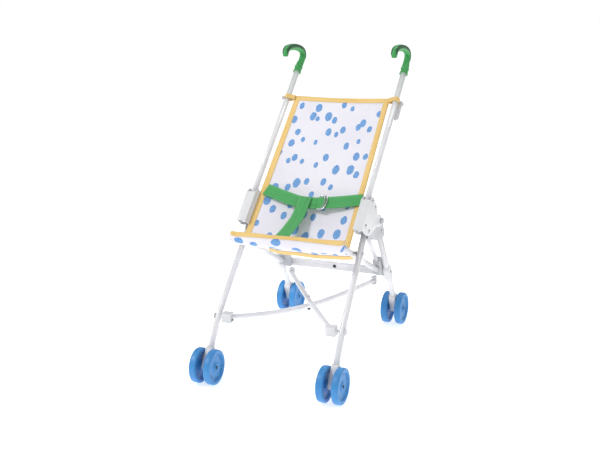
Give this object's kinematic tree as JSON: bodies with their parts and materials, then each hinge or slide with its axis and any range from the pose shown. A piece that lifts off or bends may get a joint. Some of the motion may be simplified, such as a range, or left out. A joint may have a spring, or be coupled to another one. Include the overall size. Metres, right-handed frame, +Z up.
{
  "type": "doll stroller",
  "caption": "Folding toy stroller with tubular side frames, paired wheels, crossed braces, hooked grips, a fabric sling seat and a lap harness.",
  "frame": {"origin": "centre of the footprint box, on the floor under the stroller", "axes": "+Z up; +Y toward the grips and the rear wheels; +X to the right of someone looking at the front of the stroller"},
  "size_m": [0.2806, 0.5111, 0.5522],
  "materials": {
    "seat_cloth": "woven polyester",
    "dark_steel": "blackened",
    "ring_steel": "bright plated",
    "pale_plastic": "moulded satin",
    "webbing": "ribbed webbing",
    "white_tube": "gloss paint",
    "grey_plastic": "moulded satin",
    "wheel_blue": "moulded satin",
    "grip_green": "moulded satin",
    "rivet_steel": "plated"
  },
  "bodies": {
    "right_side": {"right_push_tube": "white_tube", "right_grip": "grip_green", "right_splice_bracket": "pale_plastic", "right_front_leg": "white_tube", "right_front_boot": "pale_plastic", "right_front_axle": "dark_steel", "right_leg_pivot_bolt": "grey_plastic", "right_rail_pivot_rivet": "rivet_steel", "back_panel": "seat_cloth", "left_lap_strap": "webbing", "right_lap_strap": "webbing", "crotch_strap": "webbing", "belt_ring_inner": "ring_steel", "belt_ring_outer": "ring_steel"},
    "left_side": {"left_push_tube": "white_tube", "left_grip": "grip_green", "left_splice_bracket": "pale_plastic", "left_front_leg": "white_tube", "left_front_boot": "pale_plastic", "left_front_axle": "dark_steel", "left_leg_pivot_bolt": "grey_plastic", "left_rail_pivot_rivet": "rivet_steel", "left_catch_stud": "grey_plastic"},
    "right_rail": {"right_seat_rail": "white_tube", "right_rail_strut": "white_tube", "right_rail_bracket": "grey_plastic", "seat_panel": "seat_cloth"},
    "left_rail": {"left_seat_rail": "white_tube", "left_rail_strut": "white_tube", "left_rail_bracket": "grey_plastic"},
    "right_rear_leg_body": {"right_rear_leg": "white_tube", "right_leg_top_bracket": "grey_plastic", "right_rear_leg_clip": "pale_plastic", "right_rear_boot": "pale_plastic", "right_rear_axle": "dark_steel"},
    "left_rear_leg_body": {"left_rear_leg": "white_tube", "left_leg_top_bracket": "grey_plastic", "left_rear_leg_clip": "pale_plastic", "left_rear_boot": "pale_plastic", "left_rear_axle": "dark_steel"},
    "right_yoke": {"right_front_yoke": "pale_plastic"},
    "left_yoke": {"left_front_yoke": "pale_plastic"},
    "right_rod": {"right_front_brace_rod": "white_tube", "brace_rivet": "pale_plastic", "left_rear_yoke": "pale_plastic"},
    "left_rod": {"left_front_brace_rod": "white_tube", "brace_rivet_tail": "dark_steel", "right_rear_yoke": "pale_plastic"},
    "right_bar": {"right_bar_half": "white_tube", "bar_rivet": "dark_steel"},
    "left_bar": {"left_bar_half": "white_tube"},
    "latch": {"latch_lever": "pale_plastic"},
    "right_front_wheel_inner": {"right_front_wheel_inner": "wheel_blue"},
    "right_front_wheel_outer": {"right_front_wheel_outer": "wheel_blue"},
    "right_rear_wheel_inner": {"right_rear_wheel_inner": "wheel_blue"},
    "right_rear_wheel_outer": {"right_rear_wheel_outer": "wheel_blue"},
    "left_front_wheel_inner": {"left_front_wheel_inner": "wheel_blue"},
    "left_front_wheel_outer": {"left_front_wheel_outer": "wheel_blue"},
    "left_rear_wheel_inner": {"left_rear_wheel_inner": "wheel_blue"},
    "left_rear_wheel_outer": {"left_rear_wheel_outer": "wheel_blue"}
  },
  "joints": [
    {"name": "fold", "type": "slide", "parent": "right_side", "child": "left_side", "axis": [1, 0, 0], "range_m": [0, 0.158], "deforming": ["back_panel", "seat_panel", "left_lap_strap", "right_lap_strap", "crotch_strap", "belt_ring_inner", "belt_ring_outer"]},
    {"name": "right_rail_fold", "type": "hinge", "parent": "right_side", "child": "right_rail", "pos_m": [0.0995, -0.0639, 0.212], "axis": [1, 0, 0], "range_deg": [0, 42.21]},
    {"name": "right_rear_leg_fold", "type": "hinge", "parent": "right_side", "child": "right_rear_leg_body", "pos_m": [0.114, 0.0341, 0.246], "axis": [1, 0, 0], "range_deg": [0, 64.2]},
    {"name": "right_yoke_tilt", "type": "hinge", "parent": "right_side", "child": "right_yoke", "pos_m": [0.099, -0.1709, 0.107], "axis": [1, 0, 0], "range_deg": [0, 24.43]},
    {"name": "right_rod_swing", "type": "hinge", "parent": "right_yoke", "child": "right_rod", "pos_m": [0.099, -0.1709, 0.107], "axis": [0, 0, 1], "range_deg": [-29.73, 0]},
    {"name": "right_bar_fold", "type": "hinge", "parent": "right_rail", "child": "right_bar", "pos_m": [0.097, 0.1101, 0.12], "axis": [0, 1, 0], "range_deg": [-82.2, 0]},
    {"name": "left_rail_fold", "type": "hinge", "parent": "left_side", "child": "left_rail", "pos_m": [-0.0995, -0.0639, 0.212], "axis": [1, 0, 0], "range_deg": [0, 42.21]},
    {"name": "left_rear_leg_fold", "type": "hinge", "parent": "left_side", "child": "left_rear_leg_body", "pos_m": [-0.114, 0.0341, 0.246], "axis": [1, 0, 0], "range_deg": [0, 64.2]},
    {"name": "left_yoke_tilt", "type": "hinge", "parent": "left_side", "child": "left_yoke", "pos_m": [-0.099, -0.1709, 0.107], "axis": [1, 0, 0], "range_deg": [0, 24.43]},
    {"name": "left_rod_swing", "type": "hinge", "parent": "left_yoke", "child": "left_rod", "pos_m": [-0.099, -0.1709, 0.107], "axis": [0, 0, 1], "range_deg": [0, 29.73]},
    {"name": "left_bar_fold", "type": "hinge", "parent": "left_rail", "child": "left_bar", "pos_m": [-0.097, 0.1101, 0.12], "axis": [0, 1, 0], "range_deg": [0, 82.2]},
    {"name": "latch_turn", "type": "hinge", "parent": "right_side", "child": "latch", "pos_m": [0.119, 0.17353, 0.44052], "axis": [0, 0.651, -0.759], "range_deg": [0, 95]},
    {"name": "right_front_wheel_inner_spin", "type": "hinge", "parent": "right_side", "child": "right_front_wheel_inner", "pos_m": [0.1056, -0.2239, 0.03173], "axis": [1, 0, 0], "continuous": true},
    {"name": "right_front_wheel_outer_spin", "type": "hinge", "parent": "right_side", "child": "right_front_wheel_outer", "pos_m": [0.1337, -0.2239, 0.03173], "axis": [1, 0, 0], "continuous": true},
    {"name": "right_rear_wheel_inner_spin", "type": "hinge", "parent": "right_rear_leg_body", "child": "right_rear_wheel_inner", "pos_m": [0.09985, 0.1433, 0.03173], "axis": [1, 0, 0], "continuous": true},
    {"name": "right_rear_wheel_outer_spin", "type": "hinge", "parent": "right_rear_leg_body", "child": "right_rear_wheel_outer", "pos_m": [0.12795, 0.1433, 0.03173], "axis": [1, 0, 0], "continuous": true},
    {"name": "left_front_wheel_inner_spin", "type": "hinge", "parent": "left_side", "child": "left_front_wheel_inner", "pos_m": [-0.1056, -0.2239, 0.03173], "axis": [1, 0, 0], "continuous": true},
    {"name": "left_front_wheel_outer_spin", "type": "hinge", "parent": "left_side", "child": "left_front_wheel_outer", "pos_m": [-0.1337, -0.2239, 0.03173], "axis": [1, 0, 0], "continuous": true},
    {"name": "left_rear_wheel_inner_spin", "type": "hinge", "parent": "left_rear_leg_body", "child": "left_rear_wheel_inner", "pos_m": [-0.09985, 0.1433, 0.03173], "axis": [1, 0, 0], "continuous": true},
    {"name": "left_rear_wheel_outer_spin", "type": "hinge", "parent": "left_rear_leg_body", "child": "left_rear_wheel_outer", "pos_m": [-0.12795, 0.1433, 0.03173], "axis": [1, 0, 0], "continuous": true}
  ],
  "couplings": [
    {"joint": "right_rail_fold", "follows": "fold", "rad_per_m": 4.6406},
    {"joint": "right_rear_leg_fold", "follows": "fold", "rad_per_m": 7.0697},
    {"joint": "right_yoke_tilt", "follows": "fold", "rad_per_m": 2.6765},
    {"joint": "right_rod_swing", "follows": "fold", "rad_per_m": -3.262},
    {"joint": "right_bar_fold", "follows": "fold", "rad_per_m": -9.058},
    {"joint": "left_rail_fold", "follows": "fold", "rad_per_m": 4.6406},
    {"joint": "left_rear_leg_fold", "follows": "fold", "rad_per_m": 7.0697},
    {"joint": "left_yoke_tilt", "follows": "fold", "rad_per_m": 2.6765},
    {"joint": "left_rod_swing", "follows": "fold", "rad_per_m": 3.262},
    {"joint": "left_bar_fold", "follows": "fold", "rad_per_m": 9.058}
  ]
}
